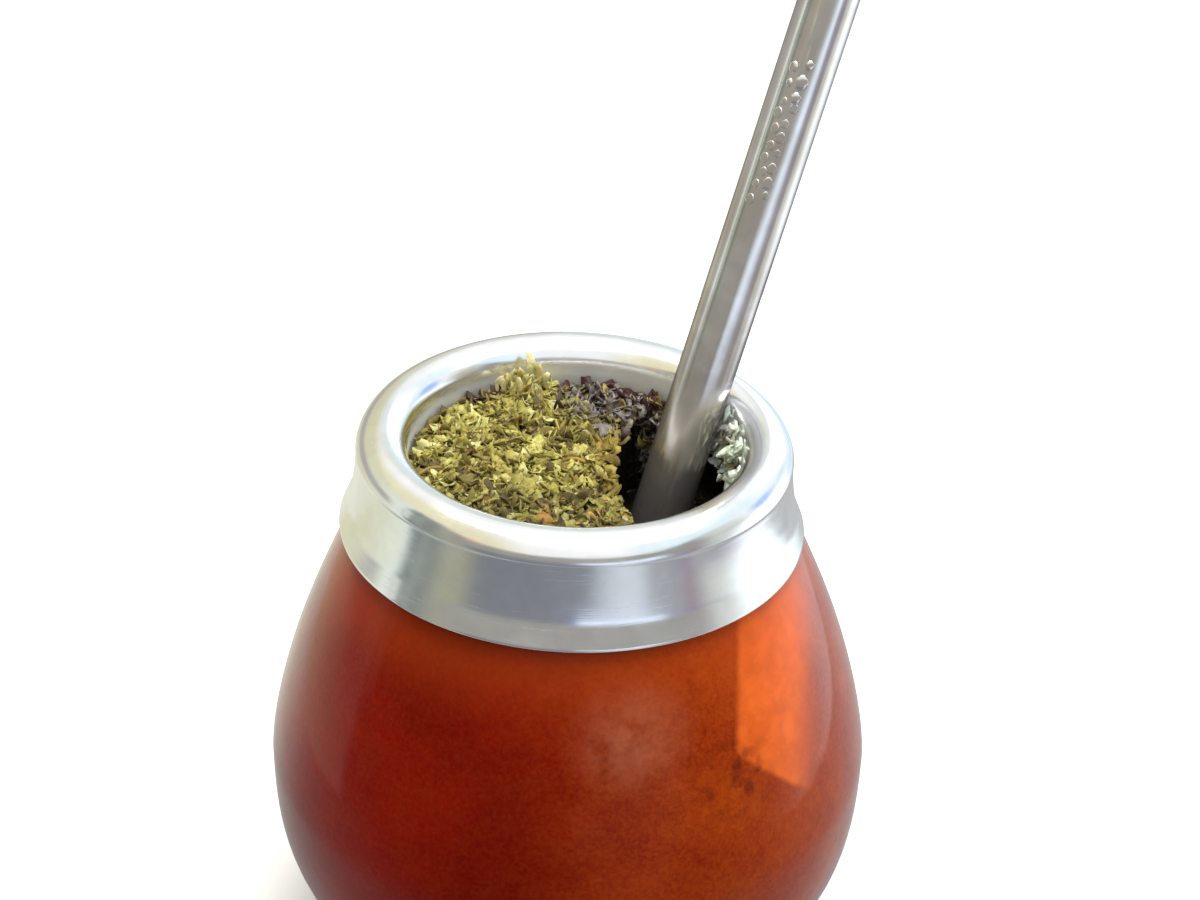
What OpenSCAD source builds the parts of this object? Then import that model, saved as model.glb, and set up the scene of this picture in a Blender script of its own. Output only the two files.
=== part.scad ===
// Mate gourd with its collar, leaf, drink and metal straw.
// Millimetres, +Z up, origin at the middle of the flat spot that the gourd stands on.

/* [Gourd] */
// Widest diameter of the gourd
gourd_d = 86; // [70:1:110]
// Height of the widest level above the foot
belly_h = 36; // [28:1:50]
// Height of the collar's lower edge above the widest level
shoulder_h = 36; // [28:1:50]
// Diameter of the gourd at the collar's lower edge
neck_d = 61; // [50:1:66]
// Diameter of the flat spot under the gourd
foot_d = 26; // [14:1:40]
// Thickness of the gourd's shell
shell_t = 5; // [3:0.5:7]

/* [Collar] */
// Thickness of the collar's sheet metal
sheet_t = 0.9; // [0.6:0.1:1.5]
// Height of the outer band, from its lower edge to the lip
band_h = 9.4; // [7:0.1:16]
// Height of the flared hem at the foot of the band
hem_h = 3.8; // [2:0.1:6]
// Angle of the hem from upright
hem_flare = 21; // [0:1:30]
// Angle of the band from upright, above the hem
band_flare = 10.5; // [0:0.5:18]
// Thickness of the gourd's rim inside the collar
rim_t = 4.2; // [2:0.1:6]
// How far the band stands in from the outside of the lip
crease_t = 0.5; // [0.3:0.1:1]
// Depth of the inner skirt below the top of the lip
skirt_h = 11; // [9:0.5:16]
// Angle at which the collar sits askew on the gourd
collar_lean = 1.2; // [0:0.1:2]

/* [Straw] */
// Outer diameter of the straw
straw_d = 8; // [6:0.5:10]
// Thickness of the straw's wall
straw_t = 0.7; // [0.5:0.1:1.2]
// Length of the straw
straw_l = 175; // [140:1:220]
// Angle of the straw from upright
straw_lean = 20.8; // [12:0.1:24]
// Direction in which the straw leans, from +X towards +Y
straw_turn = 40; // [20:1:60]
// Place on the lip where the straw rests, from +X towards +Y
straw_seat = 28.3; // [10:0.1:50]
// Height of the middle of the straw's lower end above the gourd's inner floor
straw_bed = 4.5; // [4:0.5:20]

/* [Leaf and drink] */
// Depth of the leaf at the wall below the top of the lip
leaf_drop = 6; // [3:0.5:12]
// Height of the heap's middle above its edge
heap_h = 1.8; // [0:0.1:4]
// Height of the bumps on the heap
bump_h = 0.6; // [0:0.1:1.5]
// Fall of the heap from its middle to the edge of the pit
brink_drop = 1.8; // [0:0.1:4]
// Depth of the drink's surface below the top of the lip
drink_drop = 20.5; // [18:0.5:30]
// Depth of the drink at the straw
drink_h = 5; // [3:0.5:12]
// Width of the wet bank between the drink and the wall
bank_w = 2.5; // [1.5:0.5:5]
// Height of the wet bank above the drink
bank_h = 1.2; // [0.6:0.1:4]
// Radius of the pit's edge on the heap's side
bite_r = 36; // [28:1:60]
// Gap between the straw and the heap's side of the pit, at the bottom of the drink
bite_gap = 1.5; // [1:0.1:4]
// How far the pit's upper edge stands back from the drink's edge
brink_back = 1.1; // [0:0.1:3]

/* [Clearances] */
// Gap between the collar's lower edge and the gourd
edge_gap = 0.8; // [0.6:0.1:1.5]
// Gap between the gourd's rim and the inside of the collar
groove_gap = 0.5; // [0.4:0.1:1]
// Gap between two pieces that rest on each other
seat_gap = 0.3; // [0.2:0.05:0.5]
// Gap between the leaf and the walls around it
leaf_gap = 0.5; // [0.4:0.1:1]

/* [Hidden] */
$fn = 96;
cut = 200;

// Gourd: shape of the shoulder and of the underside, and how finely they are stepped
shoulder_power = 1.37;
under_power = 2.8;
steps = 14;

// Collar, in a frame whose z = 0 is its lower edge
edge_z = belly_h + shoulder_h;
hem_r0 = neck_d / 2 + edge_gap;
hem_r1 = hem_r0 - hem_h * tan(hem_flare);
band_r = hem_r1 - (band_h - hem_h) * tan(band_flare);
mouth_r = band_r - 2 * groove_gap - rim_t - sheet_t;
lip_r = (band_r + sheet_t + crease_t / 3 - mouth_r) / 2;
lip_cr = mouth_r + lip_r;
lip_cz = band_h + sqrt(lip_r * lip_r - (lip_r - crease_t) * (lip_r - crease_t));
lip_top = edge_z + lip_cz + lip_r;
skirt_z = lip_cz + lip_r - skirt_h;
rim_z = lip_cz - lip_r - seat_gap;

// A vector of the collar's frame, turned into the gourd's
function askew(v) = [
    v.x * cos(collar_lean) + v.z * sin(collar_lean),
    v.y,
    v.z * cos(collar_lean) - v.x * sin(collar_lean)
];

// Straw: its direction, the middle of the lip where it rests, its axis there, square to both
// the lip and itself, and its axis at a height z
straw_r = straw_d / 2;
straw_dir = [sin(straw_lean) * cos(straw_turn), sin(straw_lean) * sin(straw_turn), cos(straw_lean)];
seat = [0, 0, edge_z] + askew([lip_cr * cos(straw_seat), lip_cr * sin(straw_seat), lip_cz]);
away = cross(straw_dir, askew([-sin(straw_seat), cos(straw_seat), 0]));
rest = seat + away / norm(away) * (lip_r + straw_r + seat_gap);
function straw_at(z) = rest + straw_dir * ((z - rest.z) / straw_dir.z);
straw_foot = straw_at(shell_t + straw_bed);

// Leaf and drink: levels, radii, the middle of the pit, and how finely the surface is stepped
drink_z = lip_top - drink_drop;
pool_z = drink_z - drink_h;
leaf_z = lip_top - leaf_drop;
low_z = drink_z + bank_h;
shelf_z = edge_z + skirt_z - mouth_r * sin(collar_lean) - leaf_gap;
throat_r = mouth_r - leaf_gap - lip_cz * sin(collar_lean);
pit_shift = [3.5, -2.5];
pit = [straw_at(drink_z).x, straw_at(drink_z).y] + pit_shift;
bite_x = straw_at(pool_z).x - straw_r - bite_gap;
bite_mid = [bite_x + bite_r, 1];
heap_mid = [-0.35 * mouth_r, 0];
heap_reach = [0.8 * mouth_r, 1.06 * mouth_r];
shelf_h = 3;
edge_fall = 0.4;
around = 72;
heap_steps = [0.12, 0.28, 0.44, 0.6, 0.76, 0.9];
side_steps = 7;

// Radius at a height z of the gourd's outer profile, or of one that lies inside it by inset
function belly(z, inset) =
    let (r = gourd_d / 2 - inset, neck = neck_d / 2 - inset, foot = foot_d / 2 - 0.2 * inset)
    let (up = shoulder_h / pow(1 - neck * neck / (r * r), 1 / shoulder_power))
    let (down = (belly_h - inset) / pow(1 - foot * foot / (r * r), 1 / under_power))
    z > belly_h ? r * sqrt(1 - pow((z - belly_h) / up, shoulder_power))
                : r * sqrt(1 - pow((belly_h - z) / down, under_power));

// That profile's points, from its foot up to the collar's edge, closer together near the foot
function belly_points(inset) = concat(
    [
        for (i = [0:steps - 1])
            let (z = belly_h - (belly_h - inset) * sin(90 * (1 - i / steps)))
            [belly(z, inset), z]
    ],
    [for (i = [0:steps]) let (z = belly_h + shoulder_h * i / steps) [belly(z, inset), z]]
);

function reversed(list) = [for (i = [len(list) - 1:-1:0]) list[i]];

// Collar and rim tilt together about the middle of the collar's lower edge
module askew() {
    translate([0, 0, edge_z]) rotate([0, collar_lean, 0]) children();
}

module gourd() {
    neck = [
        [hem_r1 - groove_gap, edge_z + hem_h],
        [band_r - groove_gap, edge_z + band_h],
        [mouth_r + sheet_t + groove_gap, edge_z + band_h]
    ];
    color("#8c2f12")
    difference() {
        rotate_extrude() polygon(concat(
            [[0, 0]],
            belly_points(0),
            neck,
            reversed(belly_points(shell_t)),
            [[0, shell_t]]
        ));
        askew() translate([0, 0, rim_z]) cylinder(r = cut, h = cut);
    }
}

module collar() {
    band = [
        [hem_r0, 0],
        [hem_r0 + sheet_t, 0],
        [hem_r1 + sheet_t, hem_h],
        [band_r + sheet_t, band_h],
        [lip_cr, lip_cz],
        [band_r, band_h - sheet_t],
        [hem_r1, hem_h]
    ];
    color("#d4d8dc")
    askew() rotate_extrude() {
        translate([lip_cr, lip_cz]) circle(r = lip_r);
        polygon(band);
        translate([mouth_r, skirt_z]) square([sheet_t, lip_cz - skirt_z]);
    }
}

module straw() {
    color("#b8bcc4")
    translate(straw_foot) rotate([0, 0, straw_turn]) rotate([0, straw_lean, 0])
    rotate_extrude() {
        translate([straw_r - straw_t, straw_t / 2]) square([straw_t, straw_l - straw_t]);
        translate([straw_r - straw_t / 2, straw_t / 2]) circle(d = straw_t, $fn = 32);
        translate([straw_r - straw_t / 2, straw_l - straw_t / 2]) circle(d = straw_t, $fn = 32);
    }
}

// Distance from a point p inside a circle (middle q, radius r) to the circle, in the direction d
function reach(p, d, q, r) = let (w = p - q, b = w * d) sqrt(b * b - w * w + r * r) - b;

// Unit direction of the i-th of the points round a ring
function dir(i) = [cos(360 * i / around), sin(360 * i / around)];

function mix(a, b, t) = a + (b - a) * t;
function ramp(t) = let (s = max(0, min(1, t))) s * s * (3 - 2 * s);

// Radius that the leaf fills at a height z: under the skirt it widens to the gourd's own wall
function leaf_r(z) =
    mix(belly(min(z, edge_z), shell_t + leaf_gap), throat_r, ramp((z - shelf_z + shelf_h) / shelf_h));

// A point of the pit's outline: on the wall's side it keeps to the radius r round the gourd's
// axis, and on the heap's side it follows the bite, moved back by shift
function pit_point(i, r, shift) =
    let (d = dir(i))
    pit + d * min(reach(pit, d, [0, 0], r), reach(pit, d, bite_mid + [shift, 0], bite_r));

// The pit's outline at the drink's level, drawn in by gap, and the bowl under it, which runs
// from the ring of points that it is given round the straw
function shore(gap) = [
    for (i = [0:around - 1])
        let (p = pit_point(i, throat_r - bank_w - gap, gap))
        [p.x, p.y, drink_z]
];
function bowl(mouth, rim) = [
    for (i = [0:around - 1])
        mix(mouth[i], [rim[i].x, rim[i].y, mix(mouth[i].z, drink_z, 0.45)], 0.75)
];

// A point where the straw, widened by gap, passes a height z
function straw_point(i, z, gap) =
    let (d = dir(i), a = straw_at(z), c = d * [straw_dir.x, straw_dir.y])
    [a.x, a.y, z] + [d.x, d.y, 0] * (straw_r + gap) / sqrt(1 - c * c);

// 1 over the heap, 0 over the low wet bank on the other side of the pit
function heaped(x) = 1 - ramp((x / mouth_r - 0.52) / 0.26);

function bumps(p) = bump_h * (sin(47 * p.x + 31 * p.y) + sin(61 * p.y - 23 * p.x + 80)) / 2;

// Height of the leaf at a point; near is 1 at the pit's edge and 0 away from it
function leaf_height(p, near) =
    let (dome = 1 - pow((p.x - heap_mid.x) / heap_reach.x, 2) - pow((p.y - heap_mid.y) / heap_reach.y, 2))
    mix(low_z, leaf_z + heap_h * max(0, dome) + bumps(p) - brink_drop * near, heaped(p.x));

function on_heap(p, near) = [p.x, p.y, leaf_height(p, near)];

// Where the leaf's surface meets the wall, in the direction of the i-th point
function edge_point(i) = on_heap(pit + dir(i) * reach(pit, dir(i), [0, 0], throat_r), 0);

// The place on the wall below or above a point p, at the height z
function wall_point(p, z) = let (s = leaf_r(z) / norm([p.x, p.y])) [p.x * s, p.y * s, z];

// Triangles between ring a and ring b, each of `around` points
function band_faces(a, b) = [
    for (i = [0:around - 1])
        let (j = (i + 1) % around)
        each [
            [a * around + i, b * around + j, b * around + i],
            [a * around + i, a * around + j, b * around + j]
        ]
];

// Triangles that close the first or the last ring, a, with the point k
function first_cap(a, k) = [for (i = [0:around - 1]) [a * around + i, k, a * around + (i + 1) % around]];
function last_cap(a, k) = [for (i = [0:around - 1]) [a * around + i, a * around + (i + 1) % around, k]];

module yerba() {
    floor_z = shell_t + leaf_gap;
    bed = straw_foot - straw_dir * seat_gap;
    ring = [for (i = [0:around - 1]) i];
    mouth = [for (i = ring) straw_point(i, pool_z, leaf_gap)];
    channel = [for (m = mouth) m - straw_dir * ((m - bed) * straw_dir)];
    brink = [for (i = ring) on_heap(pit_point(i, throat_r - 0.6 * bank_w, brink_back), 1)];
    edge = [for (i = ring) edge_point(i)];
    heap = [
        for (t = heap_steps)
            [for (i = ring) on_heap(mix(brink[i], edge[i], t), pow(1 - t, 2))]
    ];
    shelf = [for (p = edge) [p.x, p.y, min(p.z - edge_fall, shelf_z)]];
    under = [for (p = shelf) wall_point(p, min(p.z - edge_fall, shelf_z - shelf_h))];
    sides = [
        for (k = [1:side_steps])
            [for (p = under) wall_point(p, mix(p.z, floor_z, sin(90 * k / side_steps)))]
    ];
    pool = [channel, mouth, bowl(mouth, shore(0)), shore(0), brink];
    rings = concat(pool, heap, [edge, shelf, under], sides);
    last = len(rings) - 1;
    points = concat([for (r = rings) each r], [bed, [0, 0, floor_z]]);
    faces = concat(
        first_cap(0, len(points) - 2),
        [for (a = [0:last - 1]) each band_faces(a, a + 1)],
        last_cap(last, len(points) - 1)
    );
    color("#9a8e4c") polyhedron(points, faces);
}

module drink() {
    ring = [for (i = [0:around - 1]) i];
    mouth = [for (i = ring) straw_point(i, pool_z + seat_gap, leaf_gap)];
    top = [for (i = ring) straw_point(i, drink_z, leaf_gap)];
    rings = [top, shore(seat_gap), bowl(mouth, shore(seat_gap)), mouth];
    points = [for (r = rings) each r];
    faces = [for (a = [0:3]) each band_faces(a, (a + 1) % 4)];
    color("#1c150c") polyhedron(points, faces);
}

gourd();
collar();
yerba();
drink();
straw();
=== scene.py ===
# Mate gourd with its collar, metal straw, cut leaf and drink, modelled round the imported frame.
import math

import bmesh
import bpy
import numpy as np
from mathutils import Matrix, Vector, noise


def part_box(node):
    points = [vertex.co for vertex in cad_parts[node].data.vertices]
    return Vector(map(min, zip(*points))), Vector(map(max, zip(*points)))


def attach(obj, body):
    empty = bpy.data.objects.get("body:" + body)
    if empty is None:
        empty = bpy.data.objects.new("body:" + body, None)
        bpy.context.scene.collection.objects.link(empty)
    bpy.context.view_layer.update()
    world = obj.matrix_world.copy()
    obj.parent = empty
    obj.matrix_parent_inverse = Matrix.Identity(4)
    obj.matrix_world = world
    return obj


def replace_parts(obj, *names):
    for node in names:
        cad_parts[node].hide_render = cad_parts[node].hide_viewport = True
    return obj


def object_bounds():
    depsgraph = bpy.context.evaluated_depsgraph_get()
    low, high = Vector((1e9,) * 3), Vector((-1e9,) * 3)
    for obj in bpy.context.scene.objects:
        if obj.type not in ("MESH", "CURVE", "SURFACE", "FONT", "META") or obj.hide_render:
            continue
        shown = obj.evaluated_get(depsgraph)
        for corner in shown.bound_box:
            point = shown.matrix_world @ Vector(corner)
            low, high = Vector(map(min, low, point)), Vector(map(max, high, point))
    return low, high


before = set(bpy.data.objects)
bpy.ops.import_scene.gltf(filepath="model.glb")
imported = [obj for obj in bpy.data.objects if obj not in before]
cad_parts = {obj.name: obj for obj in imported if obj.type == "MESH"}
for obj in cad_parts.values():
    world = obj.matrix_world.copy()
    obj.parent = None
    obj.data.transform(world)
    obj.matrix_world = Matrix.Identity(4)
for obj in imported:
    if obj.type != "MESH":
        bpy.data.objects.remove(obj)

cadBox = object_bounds()
mm = 0.001
scene = bpy.context.scene


class Net:
    # the nodes of one shader tree; every input takes a value or a socket to link from
    def __init__(self, tree, material=None):
        self.tree = tree
        self.material = material

    def fill(self, socket, value):
        if isinstance(value, bpy.types.NodeSocket):
            self.tree.links.new(value, socket)
        else:
            socket.default_value = (*value, 1) if socket.type == "RGBA" else value

    def put(self, kind, inputs=None, **settings):
        made = self.tree.nodes.new("ShaderNode" + kind)
        for key, value in settings.items():
            setattr(made, key, value)
        for key, value in (inputs or {}).items():
            self.fill(made.inputs[key], value)
        return made

    def group(self, group, inputs):
        return self.put("Group", inputs, node_tree=group).outputs

    def calc(self, operation, first, second=0.0, third=0.0):
        return self.put("Math", {0: first, 1: second, 2: third}, operation=operation).outputs[0]

    def times(self, *factors):
        result = factors[0]
        for factor in factors[1:]:
            result = self.calc("MULTIPLY", result, factor)
        return result

    def scaled(self, value, by, plus):
        # value * by + plus
        return self.calc("MULTIPLY_ADD", value, by, plus)

    def span(self, value, low, high, toLow=0.0, toHigh=1.0):
        # smooth step from low to high
        return self.put("MapRange", {"Value": value, "From Min": low, "From Max": high, "To Min": toLow,
                                     "To Max": toHigh}, interpolation_type="SMOOTHSTEP").outputs["Result"]

    def mix(self, factor, first, second, blend="MIX"):
        made = self.put("Mix", {0: factor, 6: first, 7: second}, data_type="RGBA", blend_type=blend)
        return made.outputs[2]

    def tint(self, colour, tone, *factors):
        # turns the colour towards the tone by the factors' product
        return self.mix(self.times(*factors), colour, tone)

    def ramp(self, factor, stops):
        # colour ramp from (place, colour) pairs in rising order
        made = self.put("ValToRGB", {"Fac": factor})
        bar = made.color_ramp.elements
        bar[0].position, bar[1].position = stops[0][0], stops[-1][0]
        bar[0].color, bar[1].color = (*stops[0][1], 1), (*stops[-1][1], 1)
        for place, colour in stops[1:-1]:
            bar.new(place).color = (*colour, 1)
        return made.outputs["Color"]

    def cloud(self, vector, scale, detail=2.0, rough=0.5, warp=0.0):
        return self.put("TexNoise", {"Vector": vector, "Scale": scale, "Detail": detail,
                                     "Roughness": rough, "Distortion": warp}).outputs["Fac"]

    def mottled(self, vector, patch, blot, grain):
        return self.group(mottle, {"Vector": vector, "Patch": patch, "Blot": blot, "Grain": grain})

    def scratched(self, vector, scale, sparse):
        return self.group(scratches, {"Vector": vector, "Scale": scale, "Sparse": sparse})["Lines"]

    def bump(self, height, strength, distance):
        made = self.put("Bump", {"Height": height, "Strength": strength, "Distance": distance})
        return made.outputs[0]

    def moved(self, vector, kind="POINT", **inputs):
        return self.put("Mapping", {"Vector": vector, **inputs}, vector_type=kind).outputs[0]

    def axes(self, vector):
        return self.put("SeparateXYZ", {"Vector": vector}).outputs

    def gap(self, vector, point):
        # distance from a point
        return self.put("VectorMath", {0: vector, 1: point}, operation="DISTANCE").outputs["Value"]

    def isSeen(self):
        return self.put("LightPath").outputs["Is Camera Ray"]

    def finish(self, **values):
        # links or sets the shader's inputs; names are given without spaces
        sockets = {i.name.replace(" ", "").lower(): i
                   for i in reversed(self.tree.nodes["Principled BSDF"].inputs)}
        for key, value in values.items():
            self.fill(sockets[key.lower()], value)
        return self.material


def newMaterial(name):
    made = bpy.data.materials.new(name)
    made.use_nodes = True
    net = Net(made.node_tree, made)
    return net, net.put("TexCoord").outputs["Object"]


def newGroup(name, inputs, outputs):
    # inputs have starting values, or none for a vector; outputs are single values
    made = bpy.data.node_groups.new(name, "ShaderNodeTree")
    for label, start in inputs.items():
        kind = "NodeSocketVector" if start is None else "NodeSocketFloat"
        socket = made.interface.new_socket(name=label, in_out="INPUT", socket_type=kind)
        if start is not None:
            socket.default_value = start
    for label in outputs:
        made.interface.new_socket(name=label, in_out="OUTPUT", socket_type="NodeSocketFloat")
    entry = made.nodes.new("NodeGroupInput").outputs
    return Net(made), entry, made.nodes.new("NodeGroupOutput").inputs


def meshOf(name, bm):
    mesh = bpy.data.meshes.new(name)
    bm.to_mesh(mesh)
    bm.free()
    return mesh


def asPiece(name, mesh, material, spare=None):
    # the mesh becomes an object at the origin, riding the one body
    piece = bpy.data.objects.new(name, mesh)
    scene.collection.objects.link(piece)
    mesh.materials.append(material)
    if spare is not None:
        mesh.materials.append(spare)
    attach(piece, "root")
    return piece


def finishMesh(name, bm, material, spare=None, smooth=True, recalc=True):
    # joins double corners and turns millimetres to metres
    bmesh.ops.remove_doubles(bm, verts=bm.verts, dist=0.0005)
    if recalc:
        bmesh.ops.recalc_face_normals(bm, faces=bm.faces)
    bmesh.ops.scale(bm, vec=(mm, mm, mm), verts=bm.verts)
    for face in bm.faces:
        face.smooth = smooth
    return asPiece(name, meshOf(name, bm), material, spare)


def spinProfile(points, turns, closed=False):
    # a new mesh: (radius, height) points spun round Z, the seam joined, the faces turned outwards
    bm = bmesh.new()
    verts = [bm.verts.new((r, 0, z)) for r, z in points]
    pairs = list(zip(verts, verts[1:]))
    if closed:
        pairs.append((verts[-1], verts[0]))
    edges = [bm.edges.new(pair) for pair in pairs]
    bmesh.ops.spin(bm, geom=verts + edges, axis=(0, 0, 1), cent=(0, 0, 0), angle=math.tau,
                   steps=turns, use_merge=True)
    bmesh.ops.remove_doubles(bm, verts=bm.verts, dist=0.001)
    bmesh.ops.recalc_face_normals(bm, faces=bm.faces)
    return bm


def arc(cx, cz, radius, start, stop, count):
    # points on an arc, angles in degrees
    turns = [math.radians(start + (stop - start) * i / count) for i in range(count + 1)]
    return [(cx + radius * math.cos(turn), cz + radius * math.sin(turn)) for turn in turns]


def smoothPath(points, steps):
    # evenly smoothed polyline through the points
    ends = [points[0], *points, points[-1]]
    path = [tuple(0.5 * (2 * b[n] + (c[n] - a[n]) * t + (2 * a[n] - 5 * b[n] + 4 * c[n] - d[n]) * t ** 2
                         + (3 * b[n] - a[n] - 3 * c[n] + d[n]) * t ** 3) for n in (0, 1))
            for a, b, c, d in zip(ends, ends[1:], ends[2:], ends[3:])
            for t in (k / steps for k in range(steps))]
    return path + [points[-1]]


def mottleGroup():
    # patches at three sizes, 0 to 1
    sizes = {"Patch": 60.0, "Blot": 300.0, "Grain": 1400.0}
    results = ("Patches", "Blots", "Grains")
    net, entry, leave = newGroup("mottle", {"Vector": None, **sizes}, results)
    for size, detail, result in zip(sizes, (3.0, 4.0, 2.0), results):
        cloud = net.cloud(entry["Vector"], entry[size], detail, 0.6, 0.3)
        net.fill(leave[result], net.span(cloud, 0.32, 0.68))
    return net.tree


def scratchGroup():
    # thin random lines, 0 to 1; a stretched vector gives them their direction
    inputs = {"Vector": None, "Scale": 600.0, "Sparse": 0.6}
    net, entry, leave = newGroup("scratches", inputs, ("Lines",))
    cloud = net.cloud(entry["Vector"], entry["Scale"], rough=0.7)
    lines = net.put("MapRange", {"Value": cloud, "From Min": entry["Sparse"], "From Max": 0.8})
    net.fill(leave["Lines"], lines.outputs["Result"])
    return net.tree


def fibreGroup():
    # streaky leaf tissue: a shade and a height
    net, entry, leave = newGroup("fibre", {"Vector": None, "Scale": 1500.0}, ("Shade", "Height"))
    fine = net.cloud(entry["Vector"], entry["Scale"], 3, 0.65)
    wide = net.times(entry["Scale"], 0.35)
    veins = net.put("TexVoronoi", {"Vector": entry["Vector"], "Scale": wide}, feature="DISTANCE_TO_EDGE")
    edge = net.span(veins.outputs["Distance"], 0.0, 0.12)
    net.fill(leave["Shade"], net.span(fine, 0.3, 0.7, 0.72, 1.2))
    net.fill(leave["Height"], net.scaled(edge, 0.4, fine))
    return net.tree


mottle = mottleGroup()
scratches = scratchGroup()
fibre = fibreGroup()


gourdShape = {
    "belly": 43.0, "bellyHigh": 36.0, "shoulder": 36.0, "neck": 30.5, "foot": 13.0, "wall": 5.0,
    "shoulderPower": 1.37, "underPower": 2.8,
    "rimOut": 28.3, "rimIn": 24.6, "rimHigh": 79.0, "rimStep": (29.35, 3.8), "floorHigh": 5.0,
    "turns": 224, "uneven": 0.32, "ripple": 0.07, "dimple": 3.2, "dimpleDeep": 0.7,
}

gourdTones = {
    "deep": (0.158, 0.002, 0.0003), "red": (0.24, 0.0035, 0.0003), "brown": (0.3, 0.032, 0.0015),
    # the brightest orange tone is painted sunlight and the pinkish pale one a painted sheen; the last
    # tone on the next line is painted fill light under the collar
    "amber": (0.46, 0.08, 0.005), "glow": (0.74, 0.125, 0.016), "pale": (0.46, 0.16, 0.085),
    "dark": (0.055, 0.004, 0.002), "thin": (0.46, 0.06, 0.008),
    # in metres: the painted sunlit patch's edges, and the middle and reach of the painted sheen spot and
    # of the dark specks
    "fieldLeft": (0.0214, 0.0226), "fieldSlope": 0.955, "fieldLow": (0.0759, 0.0771),
    "fieldRight": (0.0345, 0.029), "fieldFront": (-0.004, -0.014),
    "bloom": (0.0085, -0.035, 0.061), "bloomReach": (0.0105, 0.001),
    "pins": (0.0215, -0.0315, 0.052), "pinReach": (0.0078, 0.002),
    # where the painted fill light and the painted shade under the hem begin and end
    "thinFrom": (0.06, 0.0715), "grimeFrom": (0.0705, 0.0722),
}


def bellyRadius(z, inset=0.0):
    # two curves that meet at the belly
    shape = gourdShape
    high = shape["bellyHigh"]
    r = shape["belly"] - inset
    if z > high:
        power, end, reach = shape["shoulderPower"], shape["neck"] - inset, shape["shoulder"]
    else:
        power, end, reach = shape["underPower"], shape["foot"] - 0.2 * inset, high - inset
    full = reach / (1 - (end / r) ** 2) ** (1 / power)
    return r * math.sqrt(max(0.0, 1 - (abs(z - high) / full) ** power))


def gourdProfile():
    shape = gourdShape
    high = shape["bellyHigh"]
    edge = high + shape["shoulder"]
    wall = shape["wall"]
    deep = shape["dimpleDeep"]
    rimOut, rimIn, rimHigh = shape["rimOut"], shape["rimIn"], shape["rimHigh"]
    dimple = [(0, deep), (1.2, deep * 0.92), (2.3, deep * 0.45), (shape["dimple"], 0.06), (4.4, 0.0),
              (8.0, 0.0)]
    low = [(bellyRadius(z), z) for z in high * (1 - np.cos(np.linspace(0, math.pi / 2, 34)))]
    side = [(bellyRadius(z), z) for z in np.linspace(high, edge, 40)[1:]]
    rim = [(shape["rimStep"][0], edge + shape["rimStep"][1]), (rimOut + 0.1, rimHigh - 0.9),
           (rimOut - 0.8, rimHigh), (rimIn + 0.8, rimHigh), (rimIn, rimHigh - 0.8)]
    inner = [(bellyRadius(z, wall), z) for z in np.linspace(edge, high, 20)]
    drop = high - shape["floorHigh"]
    base = [(bellyRadius(z, wall), z)
            for z in high - drop * np.sin(np.linspace(0, math.pi / 2, 20)[1:])]
    return dimple + low + side + rim + inner + base + [(0, wall)]


def buildGourd(lacquer, inside):
    shape = gourdShape
    edge = shape["bellyHigh"] + shape["shoulder"]
    bm = spinProfile(gourdProfile(), shape["turns"])
    for vert in bm.verts:
        spot = vert.co
        radius = math.hypot(spot.x, spot.y)
        if 0.5 < spot.z <= edge + 0.1 and radius > bellyRadius(spot.z) - 0.6:
            # a grown shell is never quite round: it only ever falls short of the full shape
            wide = noise.noise(spot * 0.028 + Vector((7, 3, 1)))
            fine = noise.noise(spot * 0.11 + Vector((1, 9, 4)))
            calm = min(1.0, spot.z / 8) * min(1.0, (edge + 1 - spot.z) / 10)
            fall = shape["uneven"] * (0.5 - 0.5 * wide) + shape["ripple"] * (0.5 - 0.5 * fine)
            away = Vector((spot.x, spot.y, 0)) / max(radius, 0.001)
            vert.co -= away * fall * calm
    for face in bm.faces:
        spot = face.calc_center_median()
        radius = math.hypot(spot.x, spot.y)
        inner = spot.z > 4.9 and radius < bellyRadius(min(spot.z, edge), shape["wall"] / 2)
        face.material_index = 1 if inner or spot.z > edge + 4.2 else 0
    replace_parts(finishMesh("gourdShell", bm, lacquer, inside), "gourd")


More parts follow.
